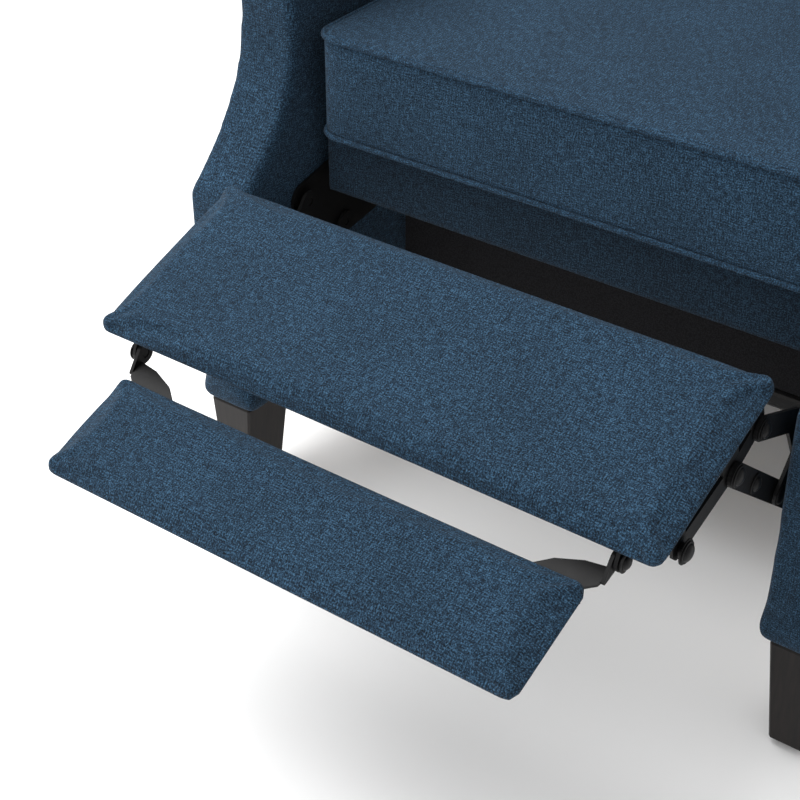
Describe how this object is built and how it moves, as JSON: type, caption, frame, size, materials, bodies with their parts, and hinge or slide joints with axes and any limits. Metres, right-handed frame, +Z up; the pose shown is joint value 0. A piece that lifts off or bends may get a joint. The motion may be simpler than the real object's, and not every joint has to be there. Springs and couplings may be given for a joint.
{
  "type": "recliner armchair",
  "caption": "Push-back recliner armchair in blue woven fabric, with panel arms, tapered wood legs and a scissor footrest with a flip-over end board.",
  "frame": {"origin": "on the floor, under the middle of the chair's bounding box with the footrest out and the back at its half-reclined rest", "axes": "+X across to the viewer's right as seen from the front, +Y towards the back, +Z up; the chair faces -Y"},
  "size_m": [0.681, 1.2928, 1.0344],
  "materials": {
    "upholstery": "heathered plain-weave upholstery cloth, navy blue",
    "plywood": "sanded plywood and pine frame",
    "espresso_wood": "dark espresso stain, satin lacquer",
    "black_steel": "black powder coat",
    "spring_steel": "bare spring wire",
    "nylon": "moulded black glide",
    "webbing": "woven elastic webbing",
    "dust_cloth": "black non-woven dust cloth"
  },
  "bodies": {
    "base": {"arm_cover_left": "upholstery", "arm_cover_right": "upholstery", "arm_panel_left": "plywood", "arm_panel_right": "plywood", "leg_front_left": "espresso_wood", "leg_front_right": "espresso_wood", "leg_rear_left": "espresso_wood", "leg_rear_right": "espresso_wood", "glide_front_left": "nylon", "glide_front_right": "nylon", "glide_rear_left": "nylon", "glide_rear_right": "nylon", "base_stretcher": "plywood", "rear_panel": "upholstery", "seat_side_rail_left": "plywood", "seat_side_rail_right": "plywood", "seat_hanger_left": "black_steel", "seat_hanger_right": "black_steel", "seat_front_rail": "plywood", "seat_rear_rail": "plywood", "seat_spring_1": "spring_steel", "seat_spring_2": "spring_steel", "seat_spring_3": "spring_steel", "seat_spring_4": "spring_steel", "seat_deck": "upholstery", "seat_cushion": "upholstery", "dust_cover": "dust_cloth", "mechanism_plate_left": "black_steel", "mechanism_plate_right": "black_steel"},
    "front_links": {"front_link_left": "black_steel", "front_link_right": "black_steel"},
    "rear_links": {"rear_link_left": "black_steel", "rear_link_right": "black_steel", "cross_tube": "black_steel"},
    "lower_links": {"lower_link_left": "black_steel", "lower_link_right": "black_steel"},
    "upper_links": {"upper_link_left": "black_steel", "upper_link_right": "black_steel"},
    "footrest": {"footrest_board": "plywood", "footrest_pad": "upholstery", "footrest_bracket_left": "black_steel", "footrest_bracket_right": "black_steel", "flipper_lug_left": "black_steel", "flipper_lug_right": "black_steel"},
    "flipper": {"flipper_board": "plywood", "flipper_pad": "upholstery", "flipper_bracket_left": "black_steel", "flipper_bracket_right": "black_steel"},
    "backrest": {"back_post_left": "plywood", "back_post_right": "plywood", "back_hinge_left": "black_steel", "back_hinge_right": "black_steel", "wing_left": "upholstery", "wing_right": "upholstery", "back_top_rail": "plywood", "back_bottom_rail": "plywood", "back_strap_1": "webbing", "back_strap_2": "webbing", "back_cushion": "upholstery", "back_outer_panel": "upholstery"}
  },
  "joints": [
    {"name": "footrest_fold", "type": "hinge", "parent": "base", "child": "front_links", "pos_m": [0, -0.24447, 0.3303], "axis": [1, 0, 0], "range_deg": [0, 72]},
    {"name": "rear_crank", "type": "hinge", "parent": "base", "child": "rear_links", "pos_m": [0, -0.18255, 0.27966], "axis": [1, 0, 0], "range_deg": [0, 72]},
    {"name": "lower_link_pin", "type": "hinge", "parent": "front_links", "child": "lower_links", "pos_m": [0, -0.30682, 0.25599], "axis": [1, 0, 0], "range_deg": [-72, 0]},
    {"name": "upper_link_pin", "type": "hinge", "parent": "front_links", "child": "upper_links", "pos_m": [0, -0.26687, 0.275], "axis": [1, 0, 0], "range_deg": [-72, 0]},
    {"name": "footrest_pin", "type": "hinge", "parent": "lower_links", "child": "footrest", "pos_m": [0, -0.39986, 0.33208], "axis": [1, 0, 0], "range_deg": [0, 72]},
    {"name": "flipper_pin", "type": "hinge", "parent": "footrest", "child": "flipper", "pos_m": [0, -0.51772, 0.31607], "axis": [1, 0, 0], "range_deg": [0, 180]},
    {"name": "back_recline", "type": "hinge", "parent": "base", "child": "backrest", "pos_m": [0, 0.31713, 0.345], "axis": [-1, 0, 0], "range_deg": [-6, 20]}
  ],
  "couplings": [
    {"joint": "rear_crank", "follows": "footrest_fold", "ratio": 1},
    {"joint": "lower_link_pin", "follows": "footrest_fold", "ratio": -1},
    {"joint": "upper_link_pin", "follows": "footrest_fold", "ratio": -1},
    {"joint": "footrest_pin", "follows": "footrest_fold", "ratio": 1},
    {"joint": "flipper_pin", "follows": "footrest_fold", "ratio": 2.5}
  ]
}
